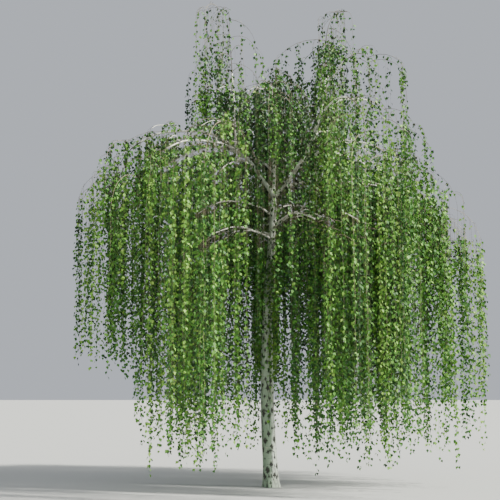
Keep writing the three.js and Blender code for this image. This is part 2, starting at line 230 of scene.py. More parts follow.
# The patterns on bark: noise scale, detail and stretch, then the noise values between which they set in.
PATCHES = (2.3, 4, (1, 1, 1), 0.36, 0.66)
LICHEN = (5.1, 5, (1, 1, 0.45), 0.45, 0.8)
PEELING = (7.0, 6, (1, 1, 3.4), 0.6, 0.68)
PORES = (11.0, 2, (1, 1, 9.0), 0.62, 0.7)
STAIN_NOISE = (6.5, 5, (1, 1, 1.9))
STAIN_EDGE = (0.7, 0.76)
GRAIN_NOISE = (70.0, 4, (1, 1, 0.4))
# How much each covers, its colour, and what it adds to the roughness and the relief.
PEELING_SHARE, PORE_SHARE, STAIN_SHARE, GRAIN_SHARE = 0.2, 0.75, 0.9, 0.1
LICHEN_GREEN = (0.2, 0.24, 0.13)
PEELED_BROWN = (0.62, 0.43, 0.29)
PORE_BROWN = (0.09, 0.075, 0.06)
SCAR_BLACK = (0.022, 0.019, 0.017)
GRAIN_GREY = (0.12, 0.12, 0.09)
PAPER_ROUGHNESS, BLACK_ROUGHNESS, GRAIN_ROUGHNESS = 0.55, 0.35, 0.1
GRAIN_RIDGE, PORE_RIDGE, PEELING_RIDGE, BLACK_RIDGE = 0.5, 0.6, 0.5, 0.8
RELIEF = {"Strength": 0.5, "Distance": 0.003}
# A dark green film on the trunk's side away from the sun is partly algae and partly painted shade, most of
# all low down: where it ends across the trunk, how ragged that edge is, and the heights between which it
# gets weaker.
ALGAE_SHADE_EDGE = (0.09, 0.02)
ALGAE_SHADE_NOISE = (9.0, 3)
ALGAE_SHADE_RAGGED = 0.08
ALGAE_SHADE_HEIGHTS = (0.8, 3.4)
ALGAE_SHADE_LOSS = 0.5
ALGAE_AND_SHADE_GREEN = (0.13, 0.225, 0.125)


def bark_material(name, pale, grey, lichen, stains, algae_and_shade=0.0):
    """Papery bark: pale and grey patches, green lichen, level breathing pores and dark scars."""
    material, place, surface = new_material(name)
    tree = material.node_tree
    dark = place.node("Attribute", {"attribute_name": "dark"}, output="Fac")
    colour = place.pattern(*PATCHES).mix(pale, grey)
    # The side away from the sun is painted a darker green, partly algae and partly painted shade.
    if algae_and_shade:
        across, height = (place.node("SeparateXYZ", {}, {"Vector": place}, axis) for axis in (0, 2))
        algae_and_shade_cover = (across + place.noise(*ALGAE_SHADE_NOISE) * ALGAE_SHADE_RAGGED).between(*ALGAE_SHADE_EDGE)
        algae_and_shade_cover = algae_and_shade_cover * (1 - height.between(*ALGAE_SHADE_HEIGHTS) * ALGAE_SHADE_LOSS) * algae_and_shade
        colour = algae_and_shade_cover.mix(colour, ALGAE_AND_SHADE_GREEN)
    colour = (place.pattern(*LICHEN) * lichen).mix(colour, LICHEN_GREEN)
    peeling = place.pattern(*PEELING)
    colour = (peeling * PEELING_SHARE).mix(colour, PEELED_BROWN)
    pores = place.pattern(*PORES)
    colour = (pores * PORE_SHARE).mix(colour, PORE_BROWN)
    stained = place.noise(*STAIN_NOISE).between(STAIN_EDGE[0] - stains, STAIN_EDGE[1] - stains)
    covered = dark + stained * STAIN_SHARE
    black = covered.math("MINIMUM", covered, 1.0)
    colour = black.mix(colour, SCAR_BLACK)
    grain = place.noise(*GRAIN_NOISE)
    colour = (grain * GRAIN_SHARE).mix(colour, GRAIN_GREY)
    rough = PAPER_ROUGHNESS + black * BLACK_ROUGHNESS + grain * GRAIN_ROUGHNESS
    ridges = grain * GRAIN_RIDGE + pores * PORE_RIDGE + peeling * PEELING_RIDGE + black * BLACK_RIDGE
    bump = place.node("Bump", {}, {**RELIEF, "Height": ridges}, "Normal")
    tree.links.new(colour.socket, surface["Base Color"])
    tree.links.new(rough.socket, surface["Roughness"])
    tree.links.new(bump.socket, surface["Normal"])
    return material


# The pale and grey of this bark are tinted green, which is painted green light from the leaves. The last
# number is the strength of the algae and painted shade.
trunk_bark = bark_material("trunk bark", (0.88, 0.94, 0.8), (0.64, 0.72, 0.57), 0.45, 0.0, 0.85)

# The bark splits in dark diamonds, close together at the foot and small and rare higher up.
MARKS = 150
MARK_STEP = 0.0235
MARK_FOOT = 0.05
MARK_WANDER, WANDER_STEP, SIZE_STEP = 0.02, 5.3, 2.7
MARK_SIZES = (0.02, 0.05)
MARK_SHRINK = (4.2, 0.4)
MARK_TALL = 1.5
MARK_EDGE = (1.15, 0.75)
MARK_RAGGED, MARK_GRAIN = 0.5, 60
MARK_DEPTH = 0.04
MARK_DARK = 0.95
# Only marks that start within these heights below and above a point can reach it.
MARKS_BELOW, MARKS_ABOVE = 0.2, 0.16
GOLDEN_ANGLE = 137.5
marks = []
for k in range(MARKS):
    rise = MARK_FOOT + k * MARK_STEP + MARK_WANDER * math.sin(k * WANDER_STEP)
    spread = 0.5 + 0.5 * math.sin(k * SIZE_STEP)
    size = MARK_SIZES[0] + (MARK_SIZES[1] - MARK_SIZES[0]) * spread * smooth_step(*MARK_SHRINK, rise)
    marks.append((rise, math.radians(k * GOLDEN_ANGLE), size))

# A scar is a low knot with a dark brow over it: height, heading, size.
SCARS = [(0.62, 262, 0.05), (1.02, 200, 0.04), (1.31, 300, 0.055), (1.75, 240, 0.045), (2.1, 335, 0.05),
         (2.46, 210, 0.05), (2.83, 285, 0.045), (3.2, 130, 0.05), (3.42, 245, 0.04), (3.8, 318, 0.05),
         (4.12, 190, 0.045), (4.4, 270, 0.05), (0.85, 60, 0.05), (1.55, 110, 0.05), (2.3, 80, 0.045)]
SCAR_REACH = 3
KNOT_HEIGHT, KNOT_DARK = 0.14, 0.8
BROW_EDGE, BROW_SLOPE, BROW_RISE = (0.35, 0.05), 0.55, 0.3
BROW_ENDS = (2.0, 1.2)
# Furrows are where the bark is both cracked and black, which is on one side and at the foot.
FURROW_DEPTH, FURROW_DARK = 0.05, 0.95
FURROW_HEIGHT, FOOT_BLACK = 0.55, 0.75
BLACK_SIDE, SIDE_BLACK = 250, 0.22
CRACK_EDGE, BLACK_EDGE = (0.35, 0.6), (0.22, 0.5)
WHOLE_CRACK, CHIPPED_CRACK = 0.6, 0.4
SWELLING = 0.035
# Noise round the trunk: its scale across and up the bark, and a shift that makes it differ.
SWELLING_NOISE = (1.2, 1.4, (0, 0))
CRACK_NOISE = (3.4, 5.5, (7, 3))
CHIP_NOISE = (9, 14, (2, 5))
BLACK_NOISE = (1.3, 2.1, (4, 9))


def noise_round(around, z, across, up, shift):
    return noise.noise(around * across + Vector((*shift, z * up)))


def trunk_relief(share, angle, point):
    """Root lobes, furrows that fade upwards, soft swellings, dark diamonds and scars."""
    z = point[2]
    around = Vector((math.cos(angle), math.sin(angle), 0))
    fading = math.exp(-z / FLARE_HEIGHT)
    height = LOBE_DEPTH * fading * math.cos(ROOT_LOBES * angle)
    height += SWELLING * noise_round(around, z, *SWELLING_NOISE)
    crack = 1 - abs(noise_round(around, z, *CRACK_NOISE)) * 2
    crack *= WHOLE_CRACK + CHIPPED_CRACK * noise_round(around, z, *CHIP_NOISE)
    lean = SIDE_BLACK * math.cos(angle - math.radians(BLACK_SIDE))
    patch = noise_round(around, z, *BLACK_NOISE) + lean + FOOT_BLACK * math.exp(-z / FURROW_HEIGHT)
    cracked = smooth_step(*CRACK_EDGE, crack) * smooth_step(*BLACK_EDGE, patch)
    height -= FURROW_DEPTH * cracked
    dark = FURROW_DARK * cracked
    first = max(0, int((z - MARKS_BELOW) / MARK_STEP))
    last = int((z + MARKS_ABOVE) / MARK_STEP)
    for rise, heading, size in marks[first:last + 1]:
        turn = math.remainder(angle - heading, math.tau) * trunk_radius(z)
        edge = abs(z - rise) / (MARK_TALL * size) + abs(turn) / size
        edge += MARK_RAGGED * noise.noise(Vector((turn, z, rise)) * MARK_GRAIN)
        split = smooth_step(*MARK_EDGE, edge)
        height -= MARK_DEPTH * split
        dark = max(dark, MARK_DARK * split)
    for scar_height, heading, size in SCARS:
        rise = z - scar_height
        if abs(rise) > SCAR_REACH * size:
            continue
        turn = math.remainder(angle - math.radians(heading), math.tau) * trunk_radius(z)
        knot = math.exp(-(rise * rise + turn * turn) / (size * size) * 2)
        height += KNOT_HEIGHT * knot
        brow = smooth_step(*BROW_EDGE, abs(rise + BROW_SLOPE * abs(turn) - BROW_RISE * size) / size)
        dark = max(dark, brow * smooth_step(*BROW_ENDS, abs(turn) / size), knot * KNOT_DARK)
    return height, dark


heights = FORK_HEIGHT * (np.arange(TRUNK_RINGS + 1) / TRUNK_RINGS) ** RING_CROWDING
trunk_line = np.array([trunk_centre(z) for z in heights])
trunk_radii = np.array([trunk_radius(z) for z in heights])
# The top closes in a low dome, which the three leaders cover.
dome = np.clip((heights - FORK_HEIGHT + TOP_HEIGHT) / TOP_HEIGHT, 0, 1)
trunk_radii *= np.sqrt(TOP_FLATNESS - dome**2)
bm = bmesh.new()
add_tube(bm, trunk_line, side_of(0), trunk_radii, TRUNK_SIDES, trunk_relief)
for vert in bm.verts:
    if vert.co.z < SOLE_HEIGHT:
        vert.co.z = 0
finish_piece("trunk_with_bark", bm, trunk_bark, "trunk_bark", "trunk")

# The limbs are three leaders that rise from the fork and the boughs that arch out of them and out
# of the upper trunk. Their bark is thin, smooth and silvery, with a dark collar where each limb
# leaves its parent.

# The columns are: name, parent, share of the parent's length, heading, rise, fall, length, first
# radius, last radius.
LEADERS = [
    ("leader_left", "trunk", 1, 184, 62, 42, 1.25, 0.04, 0.027),
    ("leader_centre", "trunk", 1, 80, 87, 82, 1.85, 0.035, 0.018),
    ("leader_right", "trunk", 1, 350, 44, 88, 2.45, 0.038, 0.018),
]
BOUGHS = [
    ("bough_left_high", "leader_left", 1, 180, 35, -32, 1.82, 0.024, 0.013),
    ("bough_left_front", "leader_left", 0.85, 216, 20, -34, 1.65, 0.021, 0.012),
    ("bough_left_low", "leader_left", 0.55, 240, 8, -38, 1.15, 0.016, 0.011),
    ("bough_left_back", "leader_left", 0.75, 146, 34, -32, 2.05, 0.022, 0.012),
    ("bough_front_left", "leader_left", 0.4, 252, 42, -20, 2.25, 0.022, 0.012),
    ("bough_spire", "leader_left", 0.93, 180, 88, 86, 1.45, 0.02, 0.012),
    ("bough_back_left", "leader_centre", 0.25, 120, 44, -18, 2.35, 0.021, 0.012),
    ("bough_back", "leader_centre", 0.45, 92, 48, -18, 2.2, 0.02, 0.012),
    ("bough_crown_front", "leader_centre", 0.7, 265, 60, -10, 1.25, 0.015, 0.01),
    ("bough_right_far", "leader_right", 0.1, 358, 17, -34, 2.63, 0.025, 0.013),
    ("bough_right_front", "leader_right", 0.24, 316, 38, -28, 1.9, 0.022, 0.012),
    ("bough_right_back", "leader_right", 0.3, 38, 40, -28, 2.05, 0.022, 0.012),
    ("bough_front_right", "leader_right", 0.4, 286, 44, -22, 2.25, 0.021, 0.012),
    ("bough_back_right", "leader_right", 0.48, 66, 48, -20, 2.2, 0.02, 0.012),
    ("bough_right_high", "leader_right", 0.72, 4, 54, -14, 1.0, 0.018, 0.011),
    ("bough_dome_front", "leader_right", 0.8, 304, 72, 20, 0.9, 0.014, 0.01),
    ("bough_dome_back", "leader_right", 0.88, 75, 74, 20, 0.8, 0.014, 0.01),
    ("bough_arch_left", "trunk", 0.955, 187, 42, -40, 1.5, 0.018, 0.011),
    ("bough_low_front_left", "trunk", 0.9, 222, 24, -30, 1.5, 0.017, 0.011),
    ("bough_low_front_right", "trunk", 0.925, 300, 26, -30, 1.45, 0.016, 0.011),
    ("bough_low_right", "trunk", 0.935, 342, 36, -36, 1.7, 0.018, 0.011),
    ("bough_low_back_right", "trunk", 0.965, 42, 32, -32, 1.7, 0.017, 0.011),
    ("bough_low_back", "trunk", 0.93, 98, 30, -32, 1.6, 0.016, 0.011),
    ("bough_low_back_left", "trunk", 0.91, 146, 30, -32, 1.7, 0.017, 0.011),
]
LEADER_RINGS, LEADER_SIDES = 90, 20
BOUGH_RINGS, BOUGH_SIDES = 60, 12
LIMB_SEED = 100
CROOK = 0.018
SWAYS, LIFTS, PHASES = (9, 14), (8, 13), (0, 6)
COLLAR_LENGTH, COLLAR_HEIGHT, COLLAR_DARK = 0.07, 0.5, 0.4
LIMB_SWELLING, SWELLING_SCALE, SWELLINGS_PER_METRE = 0.09, 0.8, 6
RING_HEIGHT, RING_DARK, RING_EDGE, RINGS_PER_METRE = 0.05, 0.1, (0.3, 0.55), 7
PHASE_STEP = 3.7
# The source's trunk has fewer rings, and limbs start on the straight stretches between them.
SOURCE_RINGS = 16
SOURCE_CROWDING = 1.6
# The numbers of a simple random generator, which the source has too.
DICE_RANGE, DICE_FACTOR = 2147483647, 48271
SEED_FACTOR, SEED_START = 7919, 104729


def dice(seed):
    """Repeatable random numbers between two limits."""
    state = (seed * SEED_FACTOR + SEED_START) % DICE_RANGE

    def roll(low, high):
        nonlocal state
        state = state * DICE_FACTOR % DICE_RANGE
        return low + (high - low) * state / DICE_RANGE

    roll(0, 1)
    return roll


def arch(start, heading, rise, fall, length, steps, hook=1.0):
    """A line that leaves its start at a heading, while its pitch turns from rise to fall."""
    pitch = np.radians(rise + (fall - rise) * ((np.arange(steps) + 0.5) / steps) ** hook)
    flat = math.radians(heading)
    ahead = np.column_stack([np.cos(pitch) * math.cos(flat), np.cos(pitch) * math.sin(flat), np.sin(pitch)])
    return np.vstack([start, start + np.cumsum(ahead * (length / steps), axis=0)])


def point_along(line, share):
    place = share * (len(line) - 1)
    first = min(int(place), len(line) - 2)
    return line[first] + (line[first + 1] - line[first]) * (place - first)


def crooked(line, side, roll):
    """Gives a limb the slight bends of a grown one, and none at its ends."""
    share = np.linspace(0, 1, len(line))
    sway = np.sin(share * roll(*SWAYS) + roll(*PHASES)) * np.sin(share * math.pi)
    lift = np.sin(share * roll(*LIFTS) + roll(*PHASES)) * np.sin(share * math.pi)
    return line + CROOK * (sway[:, None] * side + lift[:, None] * np.array([0, 0, 1.0]))


def limb_relief(phase, length):
    """Soft swellings all along, and a swollen dark collar at the foot."""

    def relief(share, angle, point):
        around = Vector((math.cos(angle), math.sin(angle), phase))
        foot = math.exp(-share * length / COLLAR_LENGTH)
        up = Vector((0, 0, share * length * SWELLINGS_PER_METRE))
        swelling = LIMB_SWELLING * noise.noise(around * SWELLING_SCALE + up)
        ring = smooth_step(*RING_EDGE, noise.noise(Vector((phase, 0, share * length * RINGS_PER_METRE))))
        height = swelling + COLLAR_HEIGHT * foot + RING_HEIGHT * ring
        return height, COLLAR_DARK * foot + RING_DARK * ring

    return relief


bough_bark = bark_material("bough bark", (0.97, 0.96, 0.85), (0.86, 0.87, 0.74), 0.1, -0.1)
# One steep bough has darker, browner bark, which is painted shade, and leaves veil it from the front.
VEILED_LIMBS = {"bough_front_left"}
painted_shade_bark = bark_material("bough bark with painted shade", (0.4, 0.38, 0.29), (0.25, 0.23, 0.17), 0.3, 0.0)
source_heights = FORK_HEIGHT * (np.arange(SOURCE_RINGS + 1) / SOURCE_RINGS) ** SOURCE_CROWDING
limbs = {"trunk": {"line": np.array([trunk_centre(z) for z in source_heights])}}
for row, (name, parent, share, heading, rise, fall, length, first, last) in enumerate(LEADERS + BOUGHS):
    leads = row < len(LEADERS)
    rings = LEADER_RINGS if leads else BOUGH_RINGS
    side = side_of(heading)
    start = point_along(limbs[parent]["line"], share)
    line = crooked(arch(start, heading, rise, fall, length, rings), side, dice(LIMB_SEED + row))
    limbs[name] = {"line": line, "parent": parent, "heading": heading, "fall": fall, "length": length,
                   "first": first, "last": last}
    bm = bmesh.new()
    radii = np.linspace(first, last, len(line))
    sides = LEADER_SIDES if leads else BOUGH_SIDES
    add_tube(bm, line, side, radii, sides, limb_relief(row * PHASE_STEP, length))
    bark, slot = (trunk_bark, "trunk_bark") if leads else (bough_bark, "bough_bark")
    # This bough gets the darker bark, which is painted shade.
    if name in VEILED_LIMBS:
        bark = painted_shade_bark
    finish_piece(name + "_with_bark", bm, bark, slot, name)

# Each mass of foliage is a long, hanging spray of twigs and leaves that grows from its limb's tip.
# Its stem runs on from the limb, arches over and hangs down, and side twigs leave the stem, arch
# out and hang down too.

# A mass has the length of its stem's arch and hook, which is how late it bends, the spread of the
# side twigs' headings, their reach, the longest drop and the side of the crown it is joined with.
Mass = namedtuple("Mass", "place, limb, arch, hook, spread, reach, drop, side, fullness")
MASSES = [Mass(*row) for row in [
    ("left_high", "bough_left_high", 1.05, 0.8, 100, 0.95, 3.4, "left", 2.0),
    ("left_front", "bough_left_front", 1.1, 1, 100, 1.2, 4.3, "left", 0.95),
    ("left_low", "bough_left_low", 0.7, 1, 100, 0.9, 3.6, "front", 0.8),
    ("left_back", "bough_left_back", 1.15, 1, 100, 1.2, 4.2, "left", 1.25),
    ("front_left", "bough_front_left", 1.3, 1, 100, 1.3, 4.6, "front", 0.85),
    ("spire", "bough_spire", 1.6, 6, 180, 0.96, 2.0, "top", 1.75),
    ("back_left", "bough_back_left", 1.3, 1, 100, 1.3, 4.6, "back", 1.1),
    ("back", "bough_back", 1.3, 1, 100, 1.3, 4.6, "back", 1),
    ("crown_front", "bough_crown_front", 0.9, 1, 110, 1.0, 2.0, "top", 1.3),
    ("right_far", "bough_right_far", 0.8, 0.8, 100, 0.9, 3.3, "right", 1.9),
    ("right_front", "bough_right_front", 0.9, 1, 100, 1.2, 4.6, "right", 1.05),
    ("right_back", "bough_right_back", 0.9, 1, 100, 1.2, 4.6, "right", 1.1),
    ("front_right", "bough_front_right", 1.3, 1, 100, 1.3, 4.8, "front", 1),
    ("back_right", "bough_back_right", 1.3, 1, 100, 1.3, 4.6, "back", 0.9),
    ("right_high", "bough_right_high", 0.85, 1, 100, 0.96, 2.0, "dome", 0.9),
    ("dome_front", "bough_dome_front", 0.9, 1.4, 110, 1.0, 2.3, "dome", 1.2),
    ("dome_back", "bough_dome_back", 0.9, 1.4, 110, 1.0, 2.3, "dome", 1.2),
    ("arch_left", "bough_arch_left", 0.7, 1, 100, 1.1, 3.8, "left", 0.9),
    ("low_front_left", "bough_low_front_left", 0.7, 1, 100, 1.1, 3.8, "under", 0.75),
    ("low_front_right", "bough_low_front_right", 0.7, 1, 100, 1.1, 3.8, "under", 1),
    ("low_right", "bough_low_right", 0.7, 1, 100, 1.2, 3.8, "right", 0.85),
    ("low_back_right", "bough_low_back_right", 0.7, 1, 100, 1.2, 3.8, "under", 0.9),
    ("low_back", "bough_low_back", 0.7, 1, 100, 1.0, 3.8, "under", 1.1),
    ("low_back_left", "bough_low_back_left", 0.7, 1, 100, 1.1, 3.8, "under", 0.8),
    ("crown_top", "leader_centre", 1.3, 3, 180, 1.0, 2.6, "top", 1.3),
    ("dome_top", "leader_right", 1.68, 5, 180, 1.5, 2.4, "dome", 1.3),
]]
SIDES_OF_CROWN = ["left", "right", "front", "back", "under", "top", "dome"]
STEM_STEPS = 20
STEM_NECK = 0.04
STEM_FALL = -88
STEM_DROPS = (0.8, 1)
STEM_TIP_RADIUS = 0.002
SIDE_STEPS = 8
TWIG_FALL = -86
TWIG_RISES = (5, 30)
TWIG_REACHES = (0.55, 1.15)
TWIG_DROPS = (0.65, 1)
TWIG_RADIUS = 0.0055
TWIG_TIP_RADIUS = 0.0015
# The side twigs of an upright stem, one that bends late, are shorter towards its tip.
UPRIGHT_HOOK = 2
UPRIGHT_SHRINK = (1.3, 0.6)
REACH_PER_TWIG = 0.24
FIRST_SHARE, LAST_SHARE = 0.05, 0.95
TWIG_SHIFT = (0.2, 0.8)
GOLDEN = 0.618
FIRST_TURN = 0.81
SHORTEST_HANG = 0.5
DRIP_HEIGHT, DRIP_RAGGED = 0.3, 0.5
DRIP_LEFT_LIFT, DRIP_LEFT_EDGE = 1.7, -2.3
DRIP_RIGHT_LIFT, DRIP_RIGHT_EDGE = 1.75, 3.5
DRIP_FADE = 0.5
# How far out of plumb a hanging line may end, how far it wavers on its way, and in how many ways.
SWAY = 0.045
WAVER = 0.012
WAVERS = 5
HANG_STEP = 0.42


def drip_height(point, roll):
    """Twigs end near the ground, and higher on the far left and the far right."""
    left = 1 - smooth_step(DRIP_LEFT_EDGE - DRIP_FADE, DRIP_LEFT_EDGE, point[0])
    right = smooth_step(DRIP_RIGHT_EDGE, DRIP_RIGHT_EDGE + DRIP_FADE, point[0])
    return DRIP_HEIGHT + roll(0, DRIP_RAGGED) + left * DRIP_LEFT_LIFT + right * DRIP_RIGHT_LIFT


def hang_down(bow, bottom, roll, waver):
    """Carries a line on down to its bottom, a little out of plumb and wavering on the way."""
    top = bow[-1]
    sway = np.array([roll(-SWAY, SWAY), roll(-SWAY, SWAY), bottom - top[2]])
    steps = max(2, round((top[2] - bottom) / HANG_STEP))
    share = np.arange(1, steps + 1)[:, None] / steps
    bends = np.sin(share * (2 + 2 * steps * waver) + waver * np.array([0, 2, 0]))
    return np.vstack([bow, top + sway * share + WAVER * bends * np.array([1, 1, 0])])


def grow_stem(mass, index):
    roll = dice(index + 1)
    limb = limbs[mass.limb]
    tip = limb["line"][-1]
    ahead = tip - limb["line"][-2]
    start = tip + ahead / np.linalg.norm(ahead) * STEM_NECK
    bow = arch(start, limb["heading"], limb["fall"], STEM_FALL, mass.arch, STEM_STEPS, mass.hook)
    bottom = max(drip_height(bow[-1], roll), bow[-1][2] - mass.drop * roll(*STEM_DROPS))
    hanging = hang_down(bow, min(bottom, bow[-1][2] - SHORTEST_HANG), roll, index % WAVERS)
    line = np.vstack([tip, hanging])
    return {"bow": bow, "line": line, "heading": limb["heading"], "roll": roll}


def grow_side_twig(bow, stem, mass, share, turn, roll, reach):
    """A twig that leaves a share of a bow to the side, arches out and hangs down."""
    start = point_along(bow, share)
    heading = stem["heading"] + turn * mass.spread
    shrink = np.interp(share, (0, 1), UPRIGHT_SHRINK) if mass.hook > UPRIGHT_HOOK else 1
    length = shrink * reach * roll(*TWIG_REACHES)
    bow = arch(start, heading, roll(*TWIG_RISES), TWIG_FALL, length, SIDE_STEPS)
    bottom = max(drip_height(bow[-1], roll), bow[-1][2] - shrink * mass.drop * roll(*TWIG_DROPS))
    line = hang_down(bow, min(bottom, bow[-1][2] - SHORTEST_HANG), roll, share * WAVERS)
    return {"bow": bow, "line": line, "heading": heading}


# The photo's camera: its place, its tilt upwards, its lens in pixels and the photo's side in pixels.
EYE = np.array([-0.376, -16.2, 1.55])
EYE_TILT = 9.277
LENS_PIXELS = 900
PHOTO_SIDE = 500
# Parts of the photo's frame where sky, or the trunk's foot, shows through the crown, as x from,
# y from, x to, y to and the share of the fine strands that stays.
SKY_PATCHES = [
    (230, 0, 275, 62, 0.15), (262, 0, 316, 34, 0.3), (331, 76, 344, 112, 0.6), (344, 50, 364, 112, 0.5),
    (352, 0, 420, 16, 0.08), (364, 16, 412, 60, 0.4), (364, 60, 400, 112, 0.36), (346, 112, 394, 150, 0.28),
    (225, 290, 256, 384, 0.42), (279, 298, 290, 346, 0.4), (134, 212, 150, 372, 0.38),
    (150, 218, 160, 330, 0.7), (160, 222, 172, 300, 0.5), (112, 150, 132, 200, 0.6),
    (99, 232, 108, 400, 0.32), (72, 285, 86, 380, 0.6), (86, 250, 99, 380, 0.65), (410, 255, 419, 330, 0.32),
    (429, 290, 439, 392, 0.35), (442, 282, 464, 392, 0.42), (463, 290, 470, 360, 0.5),
    (258, 386, 283, 480, 0.15),
]
# A cut strand keeps more points than this, or it is left out.
FEWEST_POINTS = 4
# Parts where the leaves are fewer, with the share of them that stays.
THIN_PATCHES = [
    (447, 195, 500, 240, 0.13), (445, 238, 476, 262, 0.5), (56, 110, 96, 176, 0.12),
    (92, 110, 110, 152, 0.15), (56, 176, 94, 188, 0.12), (56, 188, 84, 197, 0.2), (84, 186, 100, 200, 0.5),
    (56, 197, 80, 214, 0.3), (80, 197, 96, 226, 0.6), (96, 150, 122, 176, 0.65), (312, 0, 352, 44, 0.3),
    (340, 60, 400, 112, 0.55), (376, 96, 404, 128, 0.35), (318, 72, 350, 128, 0.6),
    (346, 112, 372, 150, 0.75), (186, 0, 262, 50, 0.24), (186, 50, 222, 90, 0.5), (222, 36, 262, 90, 0.3),
    (238, 172, 258, 204, 0.45), (213, 164, 229, 182, 0.45),
]


def photo_pixels(points):
    """Where points fall in the photo's frame."""
    away = points - EYE
    tilt = math.radians(EYE_TILT)
    depth = away[:, 1] * math.cos(tilt) + away[:, 2] * math.sin(tilt)
    up = away[:, 2] * math.cos(tilt) - away[:, 1] * math.sin(tilt)
    middle = PHOTO_SIDE / 2
    return middle + LENS_PIXELS * away[:, 0] / depth, middle - LENS_PIXELS * up / depth


def cut_for_sky(line, roll):
    """Cuts a strand off where it would hang into a patch of sky. Returns None if too little is left."""
    x, y = photo_pixels(line)
    left = len(line)
    chance = roll(0, 1)
    for x_from, y_from, x_to, y_to, share in SKY_PATCHES:
        if chance > share:
            within = (x > x_from) & (x < x_to) & (y > y_from) & (y < y_to)
            if within.any():
                left = min(left, int(within.argmax()))
    return line[:left] if left > FEWEST_POINTS else None


# Finer twigs: more side twigs of each stem, short side boughs of its limb, and bunches of thin
# hanging strands from all of these.
FINE_SEED = 500
FINE_FIRST_TURN = 0.33
FINE_TWIG_RADIUS = TWIG_RADIUS * 0.7
TWIGS_PER_METRE = 3.9
WIDER = {"right_far": 1.52, "left_high": 1.36, "right_high": 1.02, "right_back": 1.25, "right_front": 1.25,
         "spire": 1.05, "dome_top": 1.07}
BUNCH = 3
BUNCH_SPACING = 0.42
BUNCH_SHIFT = (0.1, 0.9)
BUNCH_SPREAD = 0.06
STRAND_TURNS, STRAND_SPLAY = (15, 100), (-25, 25)
STRAND_RISES, STRAND_TILT = (-25, 30), (-8, 8)
STRAND_ARCHES, STRAND_STRETCH = (0.05, 0.3), (0.7, 1.3)
STRAND_DROPS = (0.3, 1.25)
STRAND_STEPS = 4
STRAND_RADIUS = 0.002
STRAND_TIP_RADIUS = 0.0009
SHORTEST_STRAND = 0.3
LONGEST_HANG = 3.6
UPRIGHT_HANG = 1.3
LONG_SHARE = 0.5
SHORT_LIFT = (0.3, 1.1)
SIDE_BOUGHS = 3
SHORTEST_FORKED = 1.1
UNFORKED = {"bough_front_right"}
SIDE_BOUGH_FROM, SIDE_BOUGH_STEP, SIDE_BOUGH_SHIFT = 0.34, 0.22, (-0.05, 0.05)
SIDE_BOUGH_TURNS = (28, 62)
SIDE_BOUGH_LENGTHS = (0.28, 0.46)
SIDE_BOUGH_RISES, SIDE_BOUGH_FALLS = (0, 24), (-60, -35)
SIDE_BOUGH_THICKNESS, SIDE_BOUGH_TIP_RADIUS = 0.48, 0.0035
SIDE_BOUGH_RINGS, SIDE_BOUGH_SIDES = 16, 7
SIDE_BOUGH_BARE = 4
# The share of a limb, by its parent, that bears no twigs.
BARE_LIMB = {"leader_left": 0.52, "leader_centre": 0.1, "leader_right": 0.12, "trunk": 0.46}
SPINE_STEP = 0.08
TONES = (-1, 1)


def run_of(line):
    """How far along a line each of its points is."""
    return np.concatenate([[0], np.cumsum(np.linalg.norm(np.diff(line, axis=0), axis=1))])


def points_at(place, run, line):
    return np.column_stack([np.interp(place, run, line[:, axis]) for axis in range(3)])


def even_line(line):
    """The same line with its points at even steps."""
    run = run_of(line)
    return points_at(np.linspace(0, run[-1], max(2, round(run[-1] / SPINE_STEP))), run, line)


def hang_strands(bow, heading, mass, roll, tones=TONES):
    """Hangs bunches of strands from a bow. Those of a bunch are alike in their way and their green."""
    drop = mass.drop * UPRIGHT_HANG if mass.hook > UPRIGHT_HOOK else max(mass.drop, LONGEST_HANG)
    length = np.linalg.norm(np.diff(bow, axis=0), axis=1).sum()
    bunches = max(1, round(length * mass.fullness / BUNCH_SPACING))
    for bunch in range(bunches):
        share = (bunch + roll(*BUNCH_SHIFT)) / bunches
        turn = (1 if bunch % 2 else -1) * roll(*STRAND_TURNS)
        rise = roll(*STRAND_RISES)
        reach = roll(*STRAND_ARCHES)
        tone = roll(*tones)
        for _ in range(BUNCH):
            place = share + roll(-1, 1) * BUNCH_SPREAD / length
            start = point_along(bow, min(1, max(0, place)))
            way = heading + turn + roll(*STRAND_SPLAY)
            lift = rise + roll(*STRAND_TILT)
            arc = arch(start, way, lift, TWIG_FALL, reach * roll(*STRAND_STRETCH), STRAND_STEPS)
            lowest = drip_height(arc[-1], roll)
            if roll(0, 1) > LONG_SHARE:
                lowest += roll(*SHORT_LIFT)
            bottom = max(lowest, arc[-1][2] - drop * roll(*STRAND_DROPS))
            line = hang_down(arc, min(bottom, arc[-1][2] - SHORTEST_STRAND), roll, roll(0, WAVERS))
            line = cut_for_sky(line, roll)
            if line is not None:
                twigs.append({"line": line, "heading": way, "radii": (STRAND_RADIUS, STRAND_TIP_RADIUS),
                              "mass": mass, "tone": tone})


